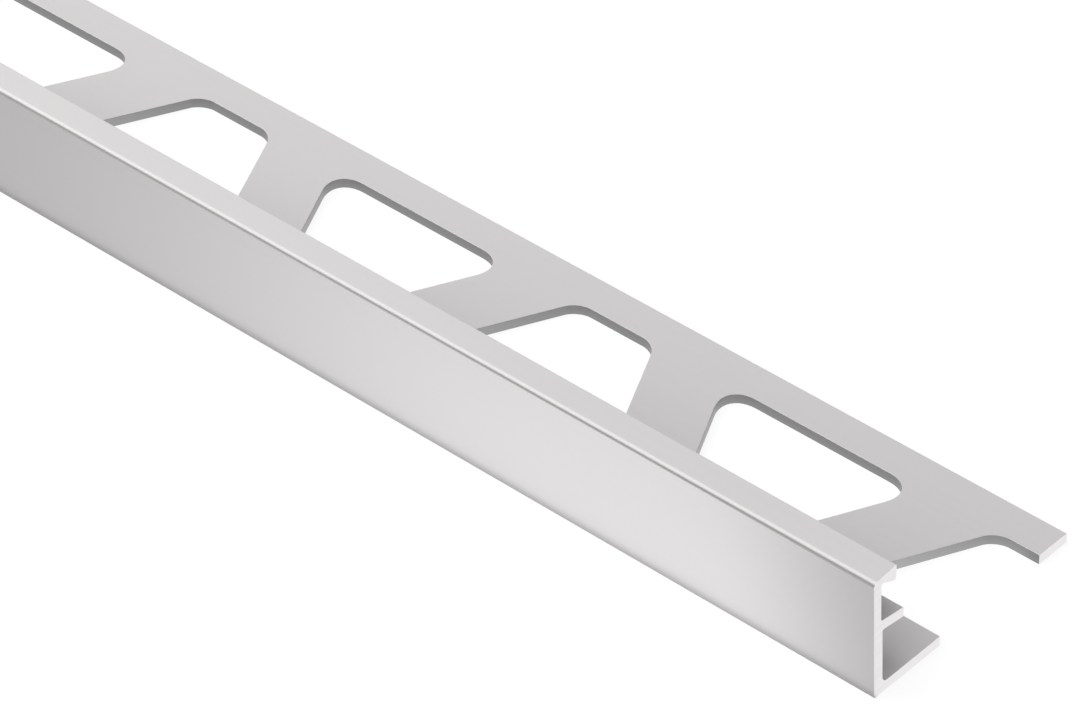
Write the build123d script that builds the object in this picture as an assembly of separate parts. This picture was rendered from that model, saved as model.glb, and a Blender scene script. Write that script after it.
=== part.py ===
from build123d import *
import math
import os

# Tile edge trim: one length of extruded aluminium with a punched bedding leg.
# X runs along the length, Y from the outside face to the leg's outer edge, Z up.
# The origin is the middle of the box's underside, on the floor the leg lies on.
# Sizes are in mm. Section sizes count from the outside bottom corner of the section.

# Length as sold
STOCK_LENGTH = 1000.0

# Outside face, which leans away from the leg as it rises
FACE_HEIGHT = 12.5
FACE_LEAN_DEGREES = 3.84

# Bedding leg, which lies in the adhesive under the tile
LEG_WIDTH = 25.0
LEG_THICKNESS = 1.0

# Wall between the leg and the head, a little thicker below the rib than above it
WALL_BELOW_RIB = 1.05
WALL_ABOVE_RIB = 0.9

# Rib behind the wall, which dips away from it
RIB_ROOT_TOP = 7.93
RIB_THICKNESS = 1.0
RIB_END = 3.2
RIB_DIP_DEGREES = 7.9

# Head, a wedge that stands over the tile's edge and rises to the back
HEAD_BACK = 1.95
HEAD_BACK_TOP = 12.8
HEAD_BACK_THICKNESS = 1.7
HEAD_ROOT_UNDERSIDE = 12.05

# Rounds of the section
FACE_TOP_ROUND = 0.45
FACE_BOTTOM_ROUND = 0.15
LEG_EDGE_ROUND = 0.15
LEG_ROOT_ROUND = 0.7
RIB_ROOT_ROUND = 0.2
RIB_END_ROUND = 0.15
HEAD_ROOT_ROUND = 0.25
HEAD_NOSE_ROUND = 0.2
HEAD_BACK_ROUND = 0.12

# Punched holes, trapezoids that point to and from the wall in turn
HOLE_PITCH = 22.62
HOLE_NEAR_EDGE = 8.3
HOLE_DEPTH = 13.0
HOLE_LONG_SIDE = 21.2
HOLE_SHORT_SIDE = 8.6
HOLE_CORNER_ROUND = 2.15
PUNCH_OVERRUN = 1.0

# Values that follow from the sizes above
LEAN_PER_HEIGHT = math.tan(math.radians(FACE_LEAN_DEGREES))
RIB_DIP_PER_WIDTH = math.tan(math.radians(RIB_DIP_DEGREES))
RIB_UPRIGHT_THICKNESS = RIB_THICKNESS / math.cos(math.radians(RIB_DIP_DEGREES))
CUT_END = STOCK_LENGTH / 2


def face_y(height: float) -> float:
    """Place of the outside face at a height."""
    return -height * LEAN_PER_HEIGHT


def wall_root(thickness: float, height: float) -> tuple[float, float]:
    """Point on the back of the wall, at a height."""
    return (face_y(height) + thickness, height)


def rib_top(across: float) -> float:
    """Height of the rib's upper side, at a distance from the outside corner."""
    root_across = wall_root(WALL_ABOVE_RIB, RIB_ROOT_TOP)[0]
    return RIB_ROOT_TOP - (across - root_across) * RIB_DIP_PER_WIDTH


def section_corners() -> dict[str, tuple[float, float]]:
    """Sharp corners of the section in order, each as (across, height)."""
    rib_end_top = rib_top(RIB_END)
    wall_below_across = wall_root(WALL_BELOW_RIB, RIB_ROOT_TOP - RIB_THICKNESS)[0]
    rib_root_bottom = rib_top(wall_below_across) - RIB_UPRIGHT_THICKNESS
    return {
        "face_bottom": (0.0, 0.0),
        "leg_bottom": (LEG_WIDTH, 0.0),
        "leg_top": (LEG_WIDTH, LEG_THICKNESS),
        "leg_root": wall_root(WALL_BELOW_RIB, LEG_THICKNESS),
        "rib_root_bottom": wall_root(WALL_BELOW_RIB, rib_root_bottom),
        "rib_end_bottom": (RIB_END, rib_end_top - RIB_UPRIGHT_THICKNESS),
        "rib_end_top": (RIB_END, rib_end_top),
        "rib_root_top": wall_root(WALL_ABOVE_RIB, RIB_ROOT_TOP),
        "head_root": wall_root(WALL_ABOVE_RIB, HEAD_ROOT_UNDERSIDE),
        "head_nose": (HEAD_BACK, HEAD_BACK_TOP - HEAD_BACK_THICKNESS),
        "head_back": (HEAD_BACK, HEAD_BACK_TOP),
        "face_top": (face_y(FACE_HEIGHT), FACE_HEIGHT),
    }


def section() -> Sketch:
    """Rounded section of the trim."""
    rounds = {
        "face_bottom": FACE_BOTTOM_ROUND,
        "leg_bottom": LEG_EDGE_ROUND,
        "leg_top": LEG_EDGE_ROUND,
        "leg_root": LEG_ROOT_ROUND,
        "rib_root_bottom": RIB_ROOT_ROUND,
        "rib_end_bottom": RIB_END_ROUND,
        "rib_end_top": RIB_END_ROUND,
        "rib_root_top": RIB_ROOT_ROUND,
        "head_root": HEAD_ROOT_ROUND,
        "head_nose": HEAD_NOSE_ROUND,
        "head_back": HEAD_BACK_ROUND,
        "face_top": FACE_TOP_ROUND,
    }
    corners = section_corners()
    shape = Sketch() + make_face(Polyline(*corners.values(), close=True))
    for name, radius in rounds.items():
        across, height = corners[name]
        corner = shape.vertices().sort_by_distance((across, height, 0))[0]
        shape = fillet(corner, radius)
    return shape


def extruded_stock() -> Part:
    """Unpunched length."""
    return extrude(Plane.YZ * section(), amount=CUT_END, both=True)


def punch() -> Part:
    """Punch for one hole about its own middle, with the long side towards +Y."""
    half_long = HOLE_LONG_SIDE / 2
    half_short = HOLE_SHORT_SIDE / 2
    half_depth = HOLE_DEPTH / 2
    outline = Polyline(
        (-half_long, half_depth),
        (-half_short, -half_depth),
        (half_short, -half_depth),
        (half_long, half_depth),
        close=True,
    )
    shape = Sketch() + make_face(outline)
    shape = fillet(shape.vertices(), HOLE_CORNER_ROUND)
    return extrude(Pos(0, 0, -PUNCH_OVERRUN) * shape, amount=LEG_THICKNESS + 2 * PUNCH_OVERRUN)


def punches() -> list[Part]:
    """One punch per hole, turned about in turn, from the cut through the first hole's middle."""
    tool = punch()
    middle_y = HOLE_NEAR_EDGE + HOLE_DEPTH / 2
    count = int(STOCK_LENGTH // HOLE_PITCH) + 1
    placed = []
    for index in range(count):
        turn = 180 if index % 2 == 0 else 0
        placed.append(Pos(CUT_END - index * HOLE_PITCH, middle_y, 0) * Rot(0, 0, turn) * tool)
    return placed


def trim_profile() -> Part:
    """Whole trim as one punched solid, moved across to stand over the origin."""
    trim = extruded_stock() - punches()
    return Pos(0, -trim.bounding_box().center().Y, 0) * trim


if __name__ == "__main__":
    os.makedirs("parts", exist_ok=True)
    export_step(trim_profile(), "parts/trim_profile.step")
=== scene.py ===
"""Anodised aluminium tile edge trim: its looks, floor, light and camera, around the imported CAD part."""

import logging
import math
from dataclasses import dataclass
from enum import Enum
from typing import Callable

import bmesh
import bpy
from mathutils import Matrix, Vector


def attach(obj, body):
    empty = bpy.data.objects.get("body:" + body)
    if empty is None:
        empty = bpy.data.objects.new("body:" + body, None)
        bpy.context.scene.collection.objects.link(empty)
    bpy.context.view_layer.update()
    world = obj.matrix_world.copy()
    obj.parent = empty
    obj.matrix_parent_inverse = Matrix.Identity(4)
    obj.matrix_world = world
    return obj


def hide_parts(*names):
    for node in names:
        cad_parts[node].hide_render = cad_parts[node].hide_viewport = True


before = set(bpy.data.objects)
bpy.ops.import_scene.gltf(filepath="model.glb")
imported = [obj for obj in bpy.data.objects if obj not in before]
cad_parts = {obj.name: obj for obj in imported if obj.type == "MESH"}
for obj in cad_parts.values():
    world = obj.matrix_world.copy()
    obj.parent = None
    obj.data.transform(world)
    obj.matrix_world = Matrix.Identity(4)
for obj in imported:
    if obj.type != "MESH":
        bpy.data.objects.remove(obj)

LOG = logging.getLogger("trim")
MM = 0.001
PHOTO_WIDTH_PX = 1080

# In metres: corners this near are one corner, vertices this near are merged, and a saw cut is this exact
SAME_PLACE = 0.004 * MM
DOUBLES = SAME_PLACE / 4
SAW_LINE = 0.0001 * MM

# Shares of a normal along an axis: above the first a face is square to it, and below the second alongside it
SQUARE_TO = 0.9
ALONGSIDE = 0.3

# Most of a noise pattern lies between these
NOISE_LOW = 0.3
NOISE_HIGH = 0.7

# Edges that turn less than this are shaded smooth, and flat faces have this weight there, in percent
SMOOTH_BELOW_DEGREES = 32.0
FLAT_WEIGHT = 100

# Settings that many nodes share
SMOOTH = {"interpolation_type": "SMOOTHSTEP"}
TIMES = {"operation": "MULTIPLY"}
TIMES_AND_PLUS = {"operation": "MULTIPLY_ADD", "use_clamp": True}
COLOURS = {"data_type": "RGBA"}
NUMBERS = {"data_type": "FLOAT"}

MeshPart = bmesh.types.BMVert | bmesh.types.BMEdge | bmesh.types.BMFace


class Finish(Enum):
    """Surfaces of the trim, each with its own material slot on the profile."""

    ANODISED = 0
    SAWN = 1
    SHEARED = 2


class Kind(Enum):
    """What is picked in edit mode, in the order and by the names of a mesh's select modes."""

    VERTEX = "VERT"
    EDGE = "EDGE"
    FACE = "FACE"


def linear(colour: str) -> tuple[float, float, float, float]:
    """Turn an sRGB hex colour into the linear values that the nodes take.

    Args:
        colour: six hex digits after a number sign.

    Returns:
        Linear red, green and blue, and an alpha of one.
    """
    values = []
    for start in (1, 3, 5):
        share = int(colour[start:start + 2], 16) / 255
        values.append(share / 12.92 if share <= 0.04045 else ((share + 0.055) / 1.055) ** 2.4)
    return (values[0], values[1], values[2], 1.0)


def add_node(tree: bpy.types.NodeTree, kind: str, settings: dict[str, object] | None = None,
             inputs: dict[str | int, object] | None = None) -> bpy.types.Node:
    """Add a node, set it, and give each input a value or a link.

    Args:
        tree: the tree that takes the node.
        kind: the node's type name.
        settings: attributes of the node itself.
        inputs: a value, or an output socket to link from, by input name or number.

    Returns:
        The new node.
    """
    node = tree.nodes.new(kind)
    for name, value in (settings or {}).items():
        setattr(node, name, value)
    for name, value in (inputs or {}).items():
        if isinstance(value, bpy.types.NodeSocket):
            tree.links.new(value, node.inputs[name])
        else:
            node.inputs[name].default_value = value
    return node


def new_material(name: str) -> bpy.types.Material:
    """Make an empty material that is ready for nodes.

    Args:
        name: the material's name.

    Returns:
        The material.
    """
    material = bpy.data.materials.new(name)
    material.use_nodes = True
    material.node_tree.nodes.clear()
    return material


@dataclass(frozen=True)
class AnodisedAluminium:
    """Extruded aluminium with a clear satin anodic layer.

    The die draws hair-fine lines along the length. They spread a reflection a little across the lines, so the
    metal looks smooth and milky, with faint streaks where the light grazes it. The lower half of the round at
    the top of the face mirrors more than the flats do, and its tone is painted darker there as painted shade,
    so it shows as a thin dark line.
    """

    light: str = "#DAD8D8"
    dark: str = "#D0CECE"
    metal_share: float = 0.45
    roughness: float = 0.3
    smoother_by: float = 0.02
    rougher_by: float = 0.03
    # Real die lines are about 0.05 mm apart, too fine for the render, so they are drawn coarser
    line_spacing_mm: float = 0.35
    line_stretch: float = 400.0
    line_detail: float = 3.0
    line_roughness: float = 0.6
    line_share: float = 0.35
    least_share: float = 0.15
    relief_share: float = 0.12
    relief_mm: float = 0.004
    cloud_mm: float = 45.0
    cloud_share: float = 0.5
    # The band of painted shade, which also mirrors more, in mm below the sharp corner at the top of the face
    # and across from it
    painted_shade_tone: str = "#D3D2D1"
    edge_metal_share: float = 0.6
    edge_roughness: float = 0.26
    edge_from_mm: float = 0.46
    edge_to_mm: float = 0.085
    edge_blend_mm: float = 0.1
    edge_across_mm: float = 0.6

    def build(self, edge: Vector) -> bpy.types.Material:
        """Make the material with die lines in its tone, roughness and bump, and a band of painted shade at
        the top of the face.

        Args:
            edge: place in metres of the sharp corner at the top of the face.

        Returns:
            The material.
        """
        material = new_material("satin_anodised_aluminium")
        tree = material.node_tree
        place = add_node(tree, "ShaderNodeTexCoord").outputs["Object"]
        across = 1 / (self.line_spacing_mm * MM)
        stretched = add_node(tree, "ShaderNodeMapping", inputs={
            "Vector": place, "Scale": (across / self.line_stretch, across, across)})
        lines = add_node(tree, "ShaderNodeTexNoise", inputs={
            "Vector": stretched.outputs[0], "Scale": 1.0, "Detail": self.line_detail,
            "Roughness": self.line_roughness})
        clouds = add_node(tree, "ShaderNodeTexNoise", inputs={
            "Vector": place, "Scale": 1 / (self.cloud_mm * MM)})
        streaks = add_node(tree, "ShaderNodeMath", TIMES_AND_PLUS, {
            0: lines.outputs["Fac"], 1: self.line_share, 2: self.least_share})
        share = add_node(tree, "ShaderNodeMath", TIMES_AND_PLUS, {
            0: clouds.outputs["Fac"], 1: self.cloud_share, 2: streaks.outputs[0]})
        tone = add_node(tree, "ShaderNodeMix", COLOURS, {
            "Factor": share.outputs[0], "A": linear(self.dark), "B": linear(self.light)})
        # Painted shade: the lower half of the round at the top of the face is painted darker as a thin dark
        # line, and the same band mirrors more
        painted_shading_mask = self.painted_shading_mask(tree, place, edge)
        tone_with_painted_shade = add_node(tree, "ShaderNodeMix", COLOURS, {
            "Factor": painted_shading_mask, "A": tone.outputs["Result"], "B": linear(self.painted_shade_tone)})
        metal = add_node(tree, "ShaderNodeMapRange", inputs={
            "Value": painted_shading_mask, "To Min": self.metal_share, "To Max": self.edge_metal_share})
        flat_rough = add_node(tree, "ShaderNodeMapRange", inputs={
            "Value": lines.outputs["Fac"], "From Min": NOISE_LOW, "From Max": NOISE_HIGH,
            "To Min": self.roughness - self.smoother_by, "To Max": self.roughness + self.rougher_by})
        rough = add_node(tree, "ShaderNodeMix", NUMBERS, {
            "Factor": painted_shading_mask, "A": flat_rough.outputs[0], "B": self.edge_roughness})
        relief = add_node(tree, "ShaderNodeBump", inputs={
            "Strength": self.relief_share, "Distance": self.relief_mm * MM, "Height": lines.outputs["Fac"]})
        shader = add_node(tree, "ShaderNodeBsdfPrincipled", inputs={
            "Base Color": tone_with_painted_shade.outputs["Result"], "Metallic": metal.outputs[0],
            "Roughness": rough.outputs["Result"], "Normal": relief.outputs[0]})
        add_node(tree, "ShaderNodeOutputMaterial", inputs={"Surface": shader.outputs[0]})
        return material

    def painted_shading_mask(self, tree: bpy.types.NodeTree, place: bpy.types.NodeSocket,
               edge: Vector) -> bpy.types.NodeSocket:
        """Mask the lower half of the round at the top of the face, where shade is painted and the metal
        mirrors more.

        Args:
            tree: the material's nodes.
            place: the socket that gives the place on the trim.
            edge: place in metres of the sharp corner at the top of the face.

        Returns:
            The socket that is one on the band of painted shade and zero elsewhere.
        """
        parts = add_node(tree, "ShaderNodeSeparateXYZ", inputs={"Vector": place})
        low = edge.z - self.edge_from_mm * MM
        high = edge.z - self.edge_to_mm * MM
        front = edge.y + self.edge_across_mm * MM
        blend = self.edge_blend_mm * MM
        above = add_node(tree, "ShaderNodeMapRange", SMOOTH, {
            "Value": parts.outputs["Z"], "From Min": low, "From Max": low + blend})
        below = add_node(tree, "ShaderNodeMapRange", SMOOTH, {
            "Value": parts.outputs["Z"], "From Min": high, "From Max": high - blend})
        in_front = add_node(tree, "ShaderNodeMapRange", inputs={
            "Value": parts.outputs["Y"], "From Min": front + blend, "From Max": front})
        band = add_node(tree, "ShaderNodeMath", TIMES, {0: above.outputs[0], 1: below.outputs[0]})
        mask = add_node(tree, "ShaderNodeMath", TIMES, {0: band.outputs[0], 1: in_front.outputs[0]})
        return mask.outputs[0]


@dataclass(frozen=True)
class SawnAluminium:
    """Bare aluminium of a saw cut.

    The teeth leave shallow parallel scores, which scatter the light, so the cut looks paler than the satin
    faces.
    """

    light: str = "#F0EEEE"
    dark: str = "#E2E0E0"
    roughness: float = 0.45
    score_mm: float = 0.25
    score_stretch: float = 30.0
    score_turn_degrees: float = 28.0
    score_roughness: float = 0.6
    relief_share: float = 0.25
    relief_mm: float = 0.01

    def build(self) -> bpy.types.Material:
        """Make the material with slanting saw scores.

        Returns:
            The material.
        """
        material = new_material("sawn_aluminium")
        tree = material.node_tree
        place = add_node(tree, "ShaderNodeTexCoord").outputs["Object"]
        across = 1 / (self.score_mm * MM)
        turned = add_node(tree, "ShaderNodeMapping", inputs={
            "Vector": place, "Rotation": (math.radians(self.score_turn_degrees), 0.0, 0.0),
            "Scale": (across, across / self.score_stretch, across)})
        scores = add_node(tree, "ShaderNodeTexNoise", inputs={
            "Vector": turned.outputs[0], "Scale": 1.0, "Roughness": self.score_roughness})
        tone = add_node(tree, "ShaderNodeMix", COLOURS, {
            "Factor": scores.outputs["Fac"], "A": linear(self.dark), "B": linear(self.light)})
        relief = add_node(tree, "ShaderNodeBump", inputs={
            "Strength": self.relief_share, "Distance": self.relief_mm * MM, "Height": scores.outputs["Fac"]})
        shader = add_node(tree, "ShaderNodeBsdfPrincipled", inputs={
            "Base Color": tone.outputs["Result"], "Metallic": 1.0, "Roughness": self.roughness,
            "Normal": relief.outputs[0]})
        add_node(tree, "ShaderNodeOutputMaterial", inputs={"Surface": shader.outputs[0]})
        return material


@dataclass(frozen=True)
class ShearedAluminium:
    """Wall of a punched hole.

    The punch burnishes the upper part of the wall and tears the lower part, so it is darker and duller than
    the faces, with fine upright drag marks. The slanting sides are painted paler, most near the trim's wall:
    painted light. Places across count from the middle of the trim's width.
    """

    burnished: str = "#868585"
    torn: str = "#8D8C8C"
    torn_below_mm: float = 0.25
    burnished_above_mm: float = 0.75
    # Painted light: the paler tone of the slanting sides, strongest near the trim's wall
    painted_light_tone: str = "#A2A1A1"
    slanting_far_mm: float = 9.2
    slanting_near_mm: float = 0.0
    slanting_least: float = 0.05
    roughness: float = 0.42
    # Real drag marks are about 0.1 mm apart, too fine for the render, so they are drawn coarser
    drag_mm: float = 0.3
    drag_stretch: float = 8.0
    drag_detail: float = 3.0
    drag_roughness: float = 0.65
    drag_share: float = 0.4
    relief_share: float = 0.3
    relief_mm: float = 0.02

    def build(self) -> bpy.types.Material:
        """Make the material with a burnished upper band, drag marks, and painted light on the slanting sides.

        Returns:
            The material.
        """
        material = new_material("sheared_aluminium")
        tree = material.node_tree
        place = add_node(tree, "ShaderNodeTexCoord").outputs["Object"]
        parts = add_node(tree, "ShaderNodeSeparateXYZ", inputs={"Vector": place})
        across = 1 / (self.drag_mm * MM)
        upright = add_node(tree, "ShaderNodeMapping", inputs={
            "Vector": place, "Scale": (across, across, across / self.drag_stretch)})
        drag = add_node(tree, "ShaderNodeTexNoise", inputs={
            "Vector": upright.outputs[0], "Scale": 1.0, "Detail": self.drag_detail,
            "Roughness": self.drag_roughness})
        band = add_node(tree, "ShaderNodeMapRange", SMOOTH, {
            "Value": parts.outputs["Z"], "From Min": self.torn_below_mm * MM,
            "From Max": self.burnished_above_mm * MM})
        share = add_node(tree, "ShaderNodeMath", TIMES_AND_PLUS, {
            0: drag.outputs["Fac"], 1: self.drag_share, 2: band.outputs[0]})
        straight = add_node(tree, "ShaderNodeMix", COLOURS, {
            "Factor": share.outputs[0], "A": linear(self.torn), "B": linear(self.burnished)})
        # Painted light: sides that face along the trim are painted paler, most near the trim's wall
        facing = add_node(tree, "ShaderNodeSeparateXYZ", inputs={
            "Vector": add_node(tree, "ShaderNodeNewGeometry").outputs["Normal"]})
        slant = add_node(tree, "ShaderNodeMath", {"operation": "ABSOLUTE"}, {0: facing.outputs["X"]})
        near = add_node(tree, "ShaderNodeMapRange", inputs={
            "Value": parts.outputs["Y"], "From Min": self.slanting_far_mm * MM,
            "From Max": self.slanting_near_mm * MM, "To Min": self.slanting_least})
        painted_shading_mask = add_node(tree, "ShaderNodeMath", TIMES, {0: slant.outputs[0], 1: near.outputs[0]})
        tone = add_node(tree, "ShaderNodeMix", COLOURS, {
            "Factor": painted_shading_mask.outputs[0], "A": straight.outputs["Result"], "B": linear(self.painted_light_tone)})
        relief = add_node(tree, "ShaderNodeBump", inputs={
            "Strength": self.relief_share, "Distance": self.relief_mm * MM, "Height": drag.outputs["Fac"]})
        shader = add_node(tree, "ShaderNodeBsdfPrincipled", inputs={
            "Base Color": tone.outputs["Result"], "Metallic": 1.0, "Roughness": self.roughness,
            "Normal": relief.outputs[0]})
        add_node(tree, "ShaderNodeOutputMaterial", inputs={"Surface": shader.outputs[0]})
        return material


def deselect_objects() -> None:
    """Leave no object selected."""
    bpy.ops.object.select_all(action="DESELECT")


def make_active(piece: bpy.types.Object) -> None:
    """Select one object alone and make it the active one.

    Args:
        piece: the object.
    """
    deselect_objects()
    piece.select_set(True)
    bpy.context.view_layer.objects.active = piece


def pick(piece: bpy.types.Object, kind: Kind, wanted: Callable[[MeshPart], bool]) -> int:
    """Select, in edit mode, the vertices, edges or faces that pass a test.

    Args:
        piece: the object in edit mode.
        kind: what is selected.
        wanted: the test of one of them.

    Returns:
        How many were selected.
    """
    bpy.ops.mesh.select_all(action="DESELECT")
    bpy.context.tool_settings.mesh_select_mode = [kind is mode for mode in Kind]
    mesh = bmesh.from_edit_mesh(piece.data)
    mesh.select_mode = {kind.value}
    mesh.normal_update()
    parts = {Kind.VERTEX: mesh.verts, Kind.EDGE: mesh.edges, Kind.FACE: mesh.faces}[kind]
    chosen = [part for part in parts if wanted(part)]
    for part in chosen:
        part.select_set(True)
    bmesh.update_edit_mesh(piece.data)
    return len(chosen)


@dataclass(frozen=True)
class Round:
    """Rounded corner of the section: its radius in mm, the corners on either side, and its facets."""

    radius: float
    before: str
    after: str
    segments: int


@dataclass
class PunchedTrim:
    """The whole trim, one punched extrusion, with sizes in mm as its section is drawn.

    Section places are (across, height) from the outside bottom corner of the section. The trim is made as one
    bay of two holes, which is repeated along the length and then sawn at both ends.
    """

    length: float = 1000.0
    # Where the frame's origin lies across the section
    across_middle: float = 12.0945
    face_height: float = 12.5
    lean_degrees: float = 3.84
    leg_width: float = 25.0
    leg_thickness: float = 1.0
    wall_below_rib: float = 1.05
    wall_above_rib: float = 0.9
    rib_root_top: float = 7.93
    rib_thickness: float = 1.0
    rib_end: float = 3.2
    rib_dip_degrees: float = 7.9
    head_back: float = 1.95
    head_back_top: float = 12.8
    head_back_thickness: float = 1.7
    head_root_underside: float = 12.05
    face_top_round: float = 0.45
    face_bottom_round: float = 0.15
    leg_edge_round: float = 0.15
    leg_root_round: float = 0.7
    rib_root_round: float = 0.2
    rib_end_round: float = 0.15
    head_root_round: float = 0.25
    head_nose_round: float = 0.2
    head_back_round: float = 0.12
    hole_pitch: float = 22.62
    hole_near_edge: float = 8.3
    hole_depth: float = 13.0
    hole_long_side: float = 21.2
    hole_short_side: float = 8.6
    hole_corner_round: float = 2.15
    hole_corner_segments: int = 12
    hole_rim_round: float = 0.05
    hole_rim_segments: int = 3
    hole_burr_round: float = 0.04
    hole_burr_segments: int = 1
    punch_height: float = 3.0
    # How sharp a hole's rim is, and how far past the holes or from an end a face may lie and still be theirs
    rim_least_degrees: float = 60.0
    hole_margin: float = 0.3
    end_margin: float = 0.02

    @property
    def bay_start(self) -> float:
        """Place along the length of the bay's first end, half a pitch beyond the saw cut."""
        return self.length / 2 + self.hole_pitch / 2

    @property
    def bay_length(self) -> float:
        """Length of the bay, which has one hole of each way round."""
        return 2 * self.hole_pitch

    def face_at(self, height: float) -> tuple[float, float]:
        """Point on the outside face, at a height."""
        return (-height * math.tan(math.radians(self.lean_degrees)), height)

    def back_at(self, height: float, thickness: float) -> tuple[float, float]:
        """Point on the back of the wall, at a height."""
        return (self.face_at(height)[0] + thickness, height)

    def corners(self) -> dict[str, tuple[float, float]]:
        """Work out the places that the section is drawn with.

        Returns:
            The sharp corners and the points on the sides where quads meet, each as (across, height), by name.
        """
        dip = math.tan(math.radians(self.rib_dip_degrees))
        upright = self.rib_thickness / math.cos(math.radians(self.rib_dip_degrees))
        leg_root = self.back_at(self.leg_thickness, self.wall_below_rib)
        root_top = self.back_at(self.rib_root_top, self.wall_above_rib)
        under, _ = self.back_at(self.rib_root_top - self.rib_thickness, self.wall_below_rib)
        root_bottom = self.rib_root_top - (under - root_top[0]) * dip - upright
        end_top = self.rib_root_top - (self.rib_end - root_top[0]) * dip
        face_top = self.face_at(self.face_height)
        rise = (self.head_back_top - self.face_height) / (self.head_back - face_top[0])
        return {
            "face_bottom": (0.0, 0.0),
            "root_bottom": (leg_root[0], 0.0),
            "leg_bottom": (self.leg_width, 0.0),
            "leg_top": (self.leg_width, self.leg_thickness),
            "leg_root": leg_root,
            "face_at_leg": self.face_at(self.leg_thickness),
            "rib_root_bottom": self.back_at(root_bottom, self.wall_below_rib),
            "face_at_rib_bottom": self.face_at(root_bottom),
            "rib_root_top": root_top,
            "face_at_rib_top": self.face_at(self.rib_root_top),
            "rib_end_bottom": (self.rib_end, end_top - upright),
            "rib_end_top": (self.rib_end, end_top),
            "head_root": self.back_at(self.head_root_underside, self.wall_above_rib),
            "face_at_head": self.face_at(self.head_root_underside),
            "over_wall": (face_top[0] + self.wall_above_rib, self.face_height + self.wall_above_rib * rise),
            "face_top": face_top,
            "head_nose": (self.head_back, self.head_back_top - self.head_back_thickness),
            "head_back": (self.head_back, self.head_back_top),
        }

    def rounds(self) -> dict[str, Round]:
        """List the rounds of the section.

        Returns:
            The round of each sharp corner, by the corner's name.
        """
        return {
            "face_bottom": Round(self.face_bottom_round, "face_top", "leg_bottom", segments=4),
            "leg_bottom": Round(self.leg_edge_round, "face_bottom", "leg_top", segments=2),
            "leg_top": Round(self.leg_edge_round, "leg_bottom", "leg_root", segments=3),
            "leg_root": Round(self.leg_root_round, "leg_top", "rib_root_bottom", segments=6),
            "rib_root_bottom": Round(self.rib_root_round, "leg_root", "rib_end_bottom", segments=4),
            "rib_end_bottom": Round(self.rib_end_round, "rib_root_bottom", "rib_end_top", segments=4),
            "rib_end_top": Round(self.rib_end_round, "rib_end_bottom", "rib_root_top", segments=4),
            "rib_root_top": Round(self.rib_root_round, "rib_end_top", "head_root", segments=4),
            "head_root": Round(self.head_root_round, "rib_root_top", "head_nose", segments=5),
            "head_nose": Round(self.head_nose_round, "head_root", "head_back", segments=4),
            "head_back": Round(self.head_back_round, "head_nose", "face_top", segments=3),
            "face_top": Round(self.face_top_round, "head_back", "face_bottom", segments=8),
        }

    def setback(self, name: str) -> float:
        """Work out how far from a sharp corner its round starts.

        Args:
            name: the corner's name.

        Returns:
            The distance in metres.
        """
        corner = self.rounds()[name]
        middle = self.point(name, 0.0)
        opening = (self.point(corner.before, 0.0) - middle).angle(self.point(corner.after, 0.0) - middle)
        return corner.radius * MM / math.tan(opening / 2)

    def point(self, name: str, along: float) -> Vector:
        """Place in metres of a named section corner at a place along the length in mm."""
        across, height = self.corners()[name]
        return Vector((along * MM, (across - self.across_middle) * MM, height * MM))

    def extrude_edge(self, piece: bpy.types.Object, start: tuple[str, str], end: tuple[str, str],
                     along: float) -> None:
        """Extrude one edge of the flat section to a new place.

        Args:
            piece: the section in edit mode.
            start: names of the corners at the edge's ends.
            end: names of the corners that those ends move to.
            along: place of the section along the length in mm.
        """
        places = [self.point(name, along) for name in start]
        goals = [self.point(name, along) for name in end]

        def joins_places(edge: bmesh.types.BMEdge) -> bool:
            """Whether an edge joins the two start corners."""
            return all(any((v.co - place).length < SAME_PLACE for v in edge.verts) for place in places)

        pick(piece, Kind.EDGE, joins_places)
        step = goals[0] - places[0]
        bpy.ops.mesh.extrude_region_move(TRANSFORM_OT_translate={"value": step})
        second = places[1] + step
        pick(piece, Kind.VERTEX, lambda vertex: (vertex.co - second).length < SAME_PLACE)
        bpy.ops.transform.translate(value=goals[1] - second)

    def flat_section(self, along: float) -> bpy.types.Object:
        """Draw the sharp section as quads, by extruding edges from the block at the wall's foot.

        Args:
            along: place of the section along the length in mm.

        Returns:
            The section's object, in edit mode.
        """
        low = self.point("face_bottom", along)
        high = self.point("leg_root", along)
        size = high - low
        deselect_objects()
        bpy.ops.mesh.primitive_plane_add(size=1.0, location=(low + high) / 2, rotation=(0, math.pi / 2, 0))
        piece = bpy.context.active_object
        piece.name = "trim_section"
        piece.scale = (size.z, size.y, 1.0)
        bpy.ops.object.transform_apply(location=True, rotation=True, scale=True)
        bpy.ops.object.mode_set(mode="EDIT")
        upright = Vector((low.x, low.y, high.z))
        pick(piece, Kind.VERTEX, lambda vertex: (vertex.co - upright).length < SAME_PLACE)
        bpy.ops.transform.translate(value=self.point("face_at_leg", along) - upright)
        for start, end in (
                (("root_bottom", "leg_root"), ("leg_bottom", "leg_top")),
                (("leg_root", "face_at_leg"), ("rib_root_bottom", "face_at_rib_bottom")),
                (("rib_root_bottom", "face_at_rib_bottom"), ("rib_root_top", "face_at_rib_top")),
                (("rib_root_bottom", "rib_root_top"), ("rib_end_bottom", "rib_end_top")),
                (("rib_root_top", "face_at_rib_top"), ("head_root", "face_at_head")),
                (("head_root", "face_at_head"), ("over_wall", "face_top")),
                (("head_root", "over_wall"), ("head_nose", "head_back"))):
            self.extrude_edge(piece, start, end, along)
        return piece

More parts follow.
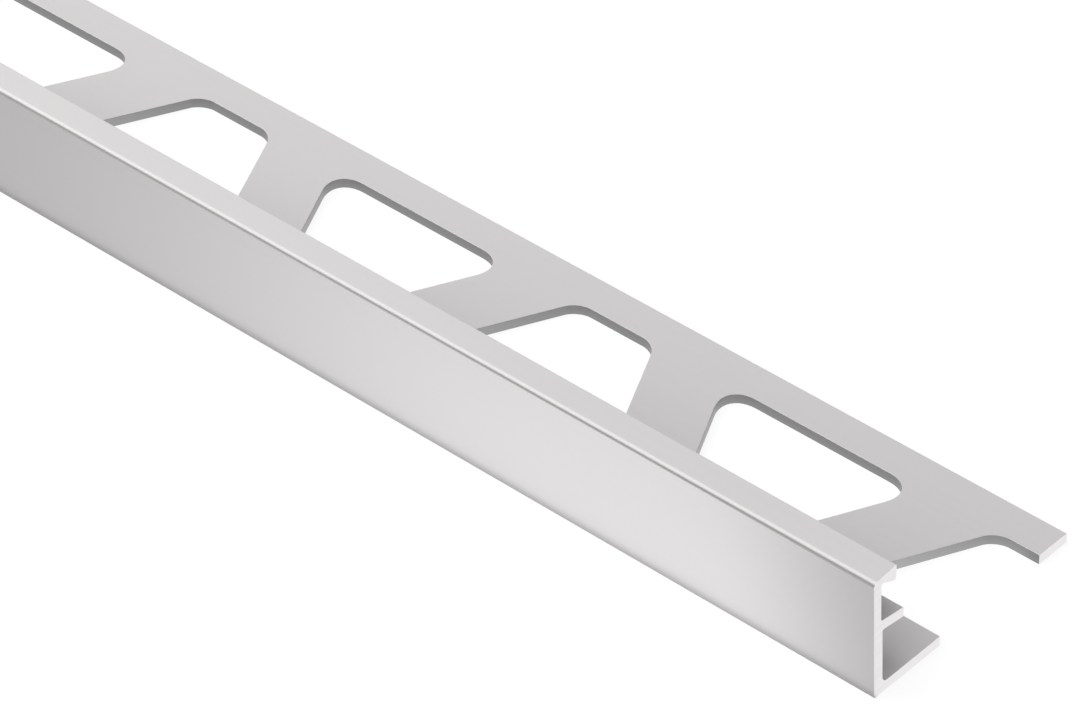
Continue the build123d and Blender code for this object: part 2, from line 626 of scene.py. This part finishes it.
    def extruded_bay(self) -> bpy.types.Object:
        """Extrude the section by two pitches, and round its long edges.

        Returns:
            The bay's object, in object mode.
        """
        piece = self.flat_section(self.bay_start)
        bpy.ops.mesh.select_all(action="SELECT")
        bpy.ops.mesh.extrude_region_move(TRANSFORM_OT_translate={"value": (-self.bay_length * MM, 0, 0)})
        bpy.ops.mesh.select_all(action="SELECT")
        bpy.ops.mesh.remove_doubles(threshold=DOUBLES)
        bpy.ops.mesh.normals_make_consistent(inside=False)
        for name, corner in self.rounds().items():
            target = self.point(name, 0.0)

            def is_long_edge(edge: bmesh.types.BMEdge) -> bool:
                """Whether an edge runs along the length at this corner."""
                near = all((v.co - target).yz.length < SAME_PLACE for v in edge.verts)
                return near and edge.calc_length() > self.bay_length * MM / 2

            found = pick(piece, Kind.EDGE, is_long_edge)
            if found != 1:
                LOG.warning("corner %s has %d long edges", name, found)
            bpy.ops.mesh.bevel(offset=self.setback(name), segments=corner.segments, affect="EDGES",
                               clamp_overlap=False)
        bpy.ops.object.mode_set(mode="OBJECT")
        return piece

    def punch(self, along: float, long_side_out: bool) -> bpy.types.Object:
        """Make the punch for one hole from a cube.

        Args:
            along: place of the hole's middle along the length in mm.
            long_side_out: whether the long side is towards the leg's outer edge.

        Returns:
            The punch's object.
        """
        middle = (self.hole_near_edge + self.hole_depth / 2 - self.across_middle) * MM
        deselect_objects()
        bpy.ops.mesh.primitive_cube_add(size=1.0, location=(along * MM, middle, self.leg_thickness * MM / 2))
        tool = bpy.context.active_object
        tool.scale = (self.hole_long_side * MM, self.hole_depth * MM, self.punch_height * MM)
        bpy.ops.object.transform_apply(location=True, rotation=True, scale=True)
        bpy.ops.object.mode_set(mode="EDIT")
        out = 1.0 if long_side_out else -1.0
        pick(tool, Kind.VERTEX, lambda vertex: (vertex.co.y - middle) * out < 0)
        share = self.hole_short_side / self.hole_long_side
        bpy.ops.transform.resize(value=(share, 1, 1), center_override=(along * MM, middle, 0))
        slope = math.degrees(math.atan((self.hole_long_side - self.hole_short_side) / 2 / self.hole_depth))
        for side, corner in ((out, 90.0 - slope), (-out, 90.0 + slope)):

            def is_upright(edge: bmesh.types.BMEdge) -> bool:
                """Whether an edge is upright and on this side of the hole."""
                first, second = (v.co for v in edge.verts)
                return (first - second).xy.length < SAME_PLACE and (first.y - middle) * side > 0

            pick(tool, Kind.EDGE, is_upright)
            start = self.hole_corner_round / math.tan(math.radians(corner) / 2)
            bpy.ops.mesh.bevel(offset=start * MM, segments=self.hole_corner_segments, affect="EDGES",
                               clamp_overlap=False)
        bpy.ops.object.mode_set(mode="OBJECT")
        return tool

    def punched_bay(self) -> bpy.types.Object:
        """Cut the bay's two holes, open its ends, and round the rims of its holes.

        Returns:
            The bay's object, open at both ends.
        """
        piece = self.extruded_bay()
        first = self.length / 2
        tools = [self.punch(first, False), self.punch(first - self.hole_pitch, True)]
        make_active(tools[0])
        tools[1].select_set(True)
        bpy.ops.object.join()
        make_active(piece)
        cut = piece.modifiers.new("holes", "BOOLEAN")
        cut.object = tools[0]
        cut.operation = "DIFFERENCE"
        cut.solver = "EXACT"
        bpy.ops.object.modifier_apply(modifier="holes")
        bpy.data.objects.remove(tools[0])
        make_active(piece)
        bpy.ops.object.mode_set(mode="EDIT")
        ends = (self.bay_start, self.bay_start - self.bay_length)
        pick(piece, Kind.FACE, lambda face: self.closes(face, ends))
        bpy.ops.mesh.delete(type="FACE")
        self.round_rims(piece, self.leg_thickness, self.hole_rim_round, self.hole_rim_segments)
        self.round_rims(piece, 0.0, self.hole_burr_round, self.hole_burr_segments)
        bpy.ops.object.mode_set(mode="OBJECT")
        return piece

    def round_rims(self, piece: bpy.types.Object, height: float, radius: float, segments: int) -> None:
        """Round the rims of the holes on one side of the leg.

        Args:
            piece: the bay in edit mode.
            height: height of that side in mm.
            radius: radius of the round in mm.
            segments: how many facets the round has.
        """

        def is_rim(edge: bmesh.types.BMEdge) -> bool:
            """Whether an edge is on a hole's rim at this height."""
            level = all(abs(v.co.z - height * MM) < SAME_PLACE and self.over_holes(v.co) for v in edge.verts)
            return level and edge.calc_face_angle(0.0) > math.radians(self.rim_least_degrees)

        found = pick(piece, Kind.EDGE, is_rim)
        LOG.info("hole rim at %.1f mm: %d edges", height, found)
        bpy.ops.mesh.bevel(offset=radius * MM, segments=segments, affect="EDGES", clamp_overlap=False)

    def over_holes(self, place: Vector) -> bool:
        """Whether a place lies in the band of the leg that is punched."""
        from_middle = place.y / MM + self.across_middle - (self.hole_near_edge + self.hole_depth / 2)
        return abs(from_middle) < self.hole_depth / 2 + self.hole_margin

    def repeat_and_cut(self, piece: bpy.types.Object) -> None:
        """Repeat the bay along the length, and saw both ends.

        Args:
            piece: the bay's object.
        """
        make_active(piece)
        row = piece.modifiers.new("row", "ARRAY")
        row.count = math.ceil((self.length + self.hole_pitch / 2) / self.bay_length)
        row.use_relative_offset = False
        row.use_constant_offset = True
        row.constant_offset_displace = (-self.bay_length * MM, 0, 0)
        row.use_merge_vertices = True
        row.merge_threshold = SAME_PLACE
        bpy.ops.object.modifier_apply(modifier="row")
        bpy.ops.object.mode_set(mode="EDIT")
        for end in (self.length / 2, -self.length / 2):
            bpy.ops.mesh.select_all(action="SELECT")
            bpy.ops.mesh.bisect(plane_co=(end * MM, 0, 0), plane_no=(math.copysign(1.0, end), 0, 0),
                                use_fill=True, clear_outer=True, threshold=SAW_LINE)
        bpy.ops.mesh.select_all(action="SELECT")
        bpy.ops.mesh.normals_make_consistent(inside=False)
        bpy.ops.object.mode_set(mode="OBJECT")

    def closes(self, face: bmesh.types.BMFace, ends: tuple[float, float]) -> bool:
        """Whether a face is square to the length, at either of two places along it in mm."""
        middle = face.calc_center_median().x / MM
        return abs(face.normal.x) > SQUARE_TO and min(abs(middle - end) for end in ends) < self.end_margin

    def is_sawn(self, face: bmesh.types.BMFace) -> bool:
        """Whether a face belongs to a saw cut."""
        return self.closes(face, (self.length / 2, -self.length / 2))

    def is_sheared(self, face: bmesh.types.BMFace) -> bool:
        """Tell the walls of the punched holes from the other faces.

        Args:
            face: a face of the finished mesh.

        Returns:
            Whether it belongs to the wall of a hole.
        """
        middle = face.calc_center_median()
        in_leg = self.over_holes(middle) and 0 < middle.z < self.leg_thickness * MM
        return in_leg and abs(face.normal.z) < ALONGSIDE and not self.is_sawn(face)

    def dress(self, piece: bpy.types.Object) -> None:
        """Give the faces their finishes and their shading.

        Args:
            piece: the finished mesh.
        """
        materials = {
            Finish.ANODISED: AnodisedAluminium().build(self.point("face_top", 0.0)),
            Finish.SAWN: SawnAluminium().build(),
            Finish.SHEARED: ShearedAluminium().build(),
        }
        for finish in Finish:
            piece.data.materials.append(materials[finish])
        make_active(piece)
        bpy.ops.object.mode_set(mode="EDIT")
        for finish, wanted in ((Finish.SAWN, self.is_sawn), (Finish.SHEARED, self.is_sheared)):
            found = pick(piece, Kind.FACE, wanted)
            LOG.info("%s: %d faces", finish.name, found)
            piece.active_material_index = finish.value
            bpy.ops.object.material_slot_assign()
        bpy.ops.object.mode_set(mode="OBJECT")
        bpy.ops.object.shade_smooth_by_angle(angle=math.radians(SMOOTH_BELOW_DEGREES))
        even = piece.modifiers.new("even_shading", "WEIGHTED_NORMAL")
        even.mode = "FACE_AREA"
        even.weight = FLAT_WEIGHT
        even.keep_sharp = True
        bpy.ops.object.modifier_apply(modifier="even_shading")

    def build(self) -> bpy.types.Object:
        """Model and dress the whole trim, and set it in the place of its CAD node.

        Returns:
            The trim's object.
        """
        piece = self.punched_bay()
        self.repeat_and_cut(piece)
        piece.name = "trim"
        piece.data.name = "trim"
        self.dress(piece)
        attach(piece, "root")
        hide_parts("trim_profile")
        LOG.info("trim: %d faces", len(piece.data.polygons))
        return piece


@dataclass
class Studio:
    """White table in a pale room, which is brighter to the left and dark low down.

    The camera sees the table white. The metal mirrors a level of its own, painted by the place on the table:
    a painted reflection with a pool of light, shade along the foot and far off, and light in the half hole,
    all painted.
    """

    floor_size_mm: float = 16000.0
    floor_drop_mm: float = 0.02
    floor_colour: str = "#707070"
    white: str = "#FFFFFF"
    camera_white: float = 0.9
    # Mirrored table in front of the face: a painted slanting pool of light, with painted shade along the foot
    # and far off
    foot_mm: float = -12.0945
    foot_blend_mm: float = 0.5
    front_level: float = 0.685
    pool_level: float = 1.57
    pool_turn_degrees: float = 45.8
    pool_from_mm: float = 280.0
    pool_peak_mm: float = 341.0
    pool_until_mm: float = 346.0
    pool_to_mm: float = 362.0
    contact_mm: float = 1.0
    contact_level: float = 0.38
    distant_from_mm: float = 10.0
    distant_to_mm: float = 35.0
    distant_level: float = 0.3
    # Mirrored table behind the face, with painted light in the half hole at the near end
    open_level: float = 1.15
    end_level: float = 1.4
    end_from_mm: float = 486.0
    end_peak_mm: float = 490.0
    end_until_mm: float = 498.0
    end_to_mm: float = 499.0
    # Room, by shares of the direction: it rises from a tilted horizon, and has a window to the left
    horizon_tilt: float = 0.3
    rise_from: float = 0.1
    rise_full: float = 0.58
    low_level: float = 0.05
    window_from: float = -0.29
    window_full: float = -0.72
    left_level: float = 1.42
    right_level: float = 0.44
    back_from: float = -0.35
    back_full: float = 0.7
    back_share: float = 0.53
    tint_from: float = -0.4
    tint_full: float = -0.6
    left_tint: str = "#FEFFFD"
    right_tint: str = "#FFFDFE"

    def floor(self) -> bpy.types.Object:
        """Make the floor, white to the camera but for a faint part of the shadow.

        Returns:
            The floor's object.
        """
        deselect_objects()
        low = -self.floor_drop_mm * MM
        bpy.ops.mesh.primitive_plane_add(size=self.floor_size_mm * MM, location=(0, 0, low))
        floor = bpy.context.active_object
        floor.name = "floor"
        bpy.ops.object.transform_apply(location=True, rotation=True, scale=True)
        material = new_material("white_table")
        tree = material.node_tree
        path = add_node(tree, "ShaderNodeLightPath")
        seen = add_node(tree, "ShaderNodeMath", TIMES, {
            0: path.outputs["Is Camera Ray"], 1: self.camera_white})
        through = add_node(tree, "ShaderNodeMath", {"operation": "MAXIMUM"}, {
            0: path.outputs["Is Glossy Ray"], 1: path.outputs["Is Transmission Ray"]})
        share = add_node(tree, "ShaderNodeMath", {"operation": "ADD", "use_clamp": True}, {
            0: through.outputs[0], 1: seen.outputs[0]})
        colour = add_node(tree, "ShaderNodeMix", COLOURS, {
            "Factor": path.outputs["Is Camera Ray"], "A": linear(self.floor_colour), "B": linear(self.white)})
        paint = add_node(tree, "ShaderNodeBsdfDiffuse", inputs={"Color": colour.outputs["Result"]})
        # Painted reflection: glossy and transmission rays see the floor glow at a level painted by place
        level = add_node(tree, "ShaderNodeMix", NUMBERS, {
            "Factor": path.outputs["Is Camera Ray"], "A": self.mirrored_level(tree), "B": 1.0})
        glow = add_node(tree, "ShaderNodeEmission", inputs={
            "Color": linear(self.white), "Strength": level.outputs["Result"]})
        mix = add_node(tree, "ShaderNodeMixShader", inputs={
            0: share.outputs[0], 1: paint.outputs[0], 2: glow.outputs[0]})
        add_node(tree, "ShaderNodeOutputMaterial", inputs={"Surface": mix.outputs[0]})
        floor.data.materials.append(material)
        return floor

    def mirrored_level(self, tree: bpy.types.NodeTree) -> bpy.types.NodeSocket:
        """Painted brightness of the floor in the metal, by the place on the floor.

        Args:
            tree: the floor material's nodes.

        Returns:
            The socket that gives the brightness.
        """
        place = add_node(tree, "ShaderNodeTexCoord").outputs["Object"]
        parts = add_node(tree, "ShaderNodeSeparateXYZ", inputs={"Vector": place})
        front = add_node(tree, "ShaderNodeMapRange", inputs={
            "Value": parts.outputs["Y"], "From Min": (self.foot_mm + self.foot_blend_mm) * MM,
            "From Max": self.foot_mm * MM})
        level = add_node(tree, "ShaderNodeMix", NUMBERS, {
            "Factor": front.outputs[0], "A": self.level_behind(tree, parts.outputs["X"]),
            "B": self.level_in_front(tree, place, parts.outputs["Y"])})
        return level.outputs["Result"]

    def level_in_front(self, tree: bpy.types.NodeTree, place: bpy.types.NodeSocket,
                       across: bpy.types.NodeSocket) -> bpy.types.NodeSocket:
        """Painted brightness of the mirrored floor in front of the face: a pool of light, with shade along
        the foot and far off.

        Args:
            tree: the floor material's nodes.
            place: the socket that gives the place on the floor.
            across: the socket that gives the place across the trim.

        Returns:
            The socket that gives the brightness.
        """
        turned = add_node(tree, "ShaderNodeMapping", inputs={
            "Vector": place, "Rotation": (0.0, 0.0, math.radians(self.pool_turn_degrees))})
        along = add_node(tree, "ShaderNodeSeparateXYZ", inputs={"Vector": turned.outputs[0]}).outputs["X"]
        rise = add_node(tree, "ShaderNodeMapRange", SMOOTH, {
            "Value": along, "From Min": self.pool_from_mm * MM, "From Max": self.pool_peak_mm * MM})
        fall = add_node(tree, "ShaderNodeMapRange", SMOOTH, {
            "Value": along, "From Min": self.pool_to_mm * MM, "From Max": self.pool_until_mm * MM})
        share = add_node(tree, "ShaderNodeMath", TIMES, {0: rise.outputs[0], 1: fall.outputs[0]})
        pool = add_node(tree, "ShaderNodeMapRange", inputs={
            "Value": share.outputs[0], "To Min": self.front_level, "To Max": self.pool_level})
        contact = add_node(tree, "ShaderNodeMapRange", SMOOTH, {
            "Value": across, "From Min": (self.foot_mm - self.contact_mm) * MM, "From Max": self.foot_mm * MM,
            "To Min": 1.0, "To Max": self.contact_level})
        distant = add_node(tree, "ShaderNodeMapRange", SMOOTH, {
            "Value": across, "From Min": (self.foot_mm - self.distant_from_mm) * MM,
            "From Max": (self.foot_mm - self.distant_to_mm) * MM,
            "To Min": 1.0, "To Max": self.distant_level})
        dimmed = add_node(tree, "ShaderNodeMath", TIMES, {0: contact.outputs[0], 1: distant.outputs[0]})
        level = add_node(tree, "ShaderNodeMath", TIMES, {0: pool.outputs[0], 1: dimmed.outputs[0]})
        return level.outputs[0]

    def level_behind(self, tree: bpy.types.NodeTree, along: bpy.types.NodeSocket) -> bpy.types.NodeSocket:
        """Painted brightness of the mirrored floor behind the face, lighter in the half hole at the near end.

        Args:
            tree: the floor material's nodes.
            along: the socket that gives the place along the trim.

        Returns:
            The socket that gives the brightness.
        """
        near_end = add_node(tree, "ShaderNodeMapRange", inputs={
            "Value": along, "From Min": self.end_from_mm * MM, "From Max": self.end_peak_mm * MM})
        before_end = add_node(tree, "ShaderNodeMapRange", inputs={
            "Value": along, "From Min": self.end_to_mm * MM, "From Max": self.end_until_mm * MM})
        in_half_hole = add_node(tree, "ShaderNodeMath", TIMES, {
            0: near_end.outputs[0], 1: before_end.outputs[0]})
        level = add_node(tree, "ShaderNodeMapRange", inputs={
            "Value": in_half_hole.outputs[0], "To Min": self.open_level, "To Max": self.end_level})
        return level.outputs[0]

    def surroundings(self) -> None:
        """Light the scene from a pale room, brighter to the left, dimmer to the back and dark low down."""
        world = bpy.data.worlds.new("pale_room")
        bpy.context.scene.world = world
        world.use_nodes = True
        tree = world.node_tree
        tree.nodes.clear()
        direction = add_node(tree, "ShaderNodeTexCoord").outputs["Generated"]
        parts = add_node(tree, "ShaderNodeSeparateXYZ", inputs={"Vector": direction})
        tilted = add_node(tree, "ShaderNodeMath", {"operation": "MULTIPLY_ADD"}, {
            0: parts.outputs["Y"], 1: self.horizon_tilt, 2: parts.outputs["Z"]})
        rise = add_node(tree, "ShaderNodeMapRange", SMOOTH, {
            "Value": tilted.outputs[0], "From Min": self.rise_from, "From Max": self.rise_full,
            "To Min": self.low_level})
        side = add_node(tree, "ShaderNodeMapRange", SMOOTH, {
            "Value": parts.outputs["X"], "From Min": self.window_from, "From Max": self.window_full,
            "To Min": self.right_level, "To Max": self.left_level})
        back = add_node(tree, "ShaderNodeMapRange", SMOOTH, {
            "Value": parts.outputs["Y"], "From Min": self.back_from, "From Max": self.back_full,
            "To Min": 1.0, "To Max": self.back_share})
        across_room = add_node(tree, "ShaderNodeMath", TIMES, {0: rise.outputs[0], 1: side.outputs[0]})
        strength = add_node(tree, "ShaderNodeMath", TIMES, {0: across_room.outputs[0], 1: back.outputs[0]})
        left = add_node(tree, "ShaderNodeMapRange", inputs={
            "Value": parts.outputs["X"], "From Min": self.tint_from, "From Max": self.tint_full})
        tint = add_node(tree, "ShaderNodeMix", COLOURS, {
            "Factor": left.outputs[0], "A": linear(self.right_tint), "B": linear(self.left_tint)})
        light = add_node(tree, "ShaderNodeBackground", inputs={
            "Color": tint.outputs["Result"], "Strength": strength.outputs[0]})
        add_node(tree, "ShaderNodeOutputWorld", inputs={"Surface": light.outputs[0]})


@dataclass
class SoftKey:
    """Large soft lamp above the trim, in front of it and to its left.

    It stands in front of the wall, so the wall and the head shade the leg behind them, with a wide soft edge.
    The metal doesn't mirror it, so that it makes no bright spot.
    """

    towards: tuple[float, float, float] = (-0.26, -0.50, 0.83)
    spread_degrees: float = 72.0
    watts_per_m2: float = 3.4

    def build(self) -> bpy.types.Object:
        """Make the lamp and turn it to shine from its side.

        Returns:
            The lamp's object.
        """
        light = bpy.data.lights.new("soft_key", "SUN")
        light.angle = math.radians(self.spread_degrees)
        light.energy = self.watts_per_m2
        lamp = bpy.data.objects.new("soft_key", light)
        bpy.context.scene.collection.objects.link(lamp)
        lamp.visible_glossy = False
        lamp.location = Vector(self.towards)
        lamp.rotation_euler = Vector(self.towards).to_track_quat("Z", "Y").to_euler()
        return lamp


@dataclass
class PhotoCamera:
    """Camera of the photograph, as its straight edges give it.

    Its place is given by how far the outside bottom corner of the near cut end lies ahead of it, and to the
    right of and below its line of sight.
    """

    azimuth_degrees: float = 41.62
    elevation_degrees: float = 39.05
    focal_px: float = 5076.0
    sensor_mm: float = 36.0
    corner_right_mm: float = 26.235
    corner_down_mm: float = 26.599
    corner_ahead_mm: float = 398.6
    clip_start_m: float = 0.01
    clip_end_m: float = 50.0

    def build(self, corner: Vector) -> bpy.types.Object:
        """Make the camera and set it as the scene's.

        Args:
            corner: the outside bottom corner of the near cut end, in metres.

        Returns:
            The camera's object.
        """
        turn, tilt = math.radians(self.azimuth_degrees), math.radians(self.elevation_degrees)
        back = Vector((math.sin(turn) * math.cos(tilt), -math.cos(turn) * math.cos(tilt), math.sin(tilt)))
        right = Vector((math.cos(turn), math.sin(turn), 0.0))
        up = back.cross(right)
        step = self.corner_ahead_mm * back + self.corner_down_mm * up - self.corner_right_mm * right
        data = bpy.data.cameras.new("photo_camera")
        data.sensor_width = self.sensor_mm
        data.lens = self.focal_px * self.sensor_mm / PHOTO_WIDTH_PX
        data.clip_start = self.clip_start_m
        data.clip_end = self.clip_end_m
        camera = bpy.data.objects.new("photo_camera", data)
        bpy.context.scene.collection.objects.link(camera)
        turned = Matrix((right, up, back)).transposed().to_4x4()
        camera.matrix_world = Matrix.Translation(corner + MM * step) @ turned
        bpy.context.scene.camera = camera
        return camera


def main() -> None:
    """Build the trim, the studio and the camera."""
    logging.basicConfig(level=logging.INFO, format="%(name)s: %(message)s")
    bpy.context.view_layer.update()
    trim = PunchedTrim()
    trim.build()
    LOG.info("trim is in place")
    studio = Studio()
    studio.floor()
    studio.surroundings()
    SoftKey().build()
    LOG.info("floor and surroundings are in place")
    PhotoCamera().build(trim.point("face_bottom", trim.length / 2))
    LOG.info("camera is in place")
    bpy.context.scene.view_settings.view_transform = "Standard"


if __name__ == "__main__":
    main()
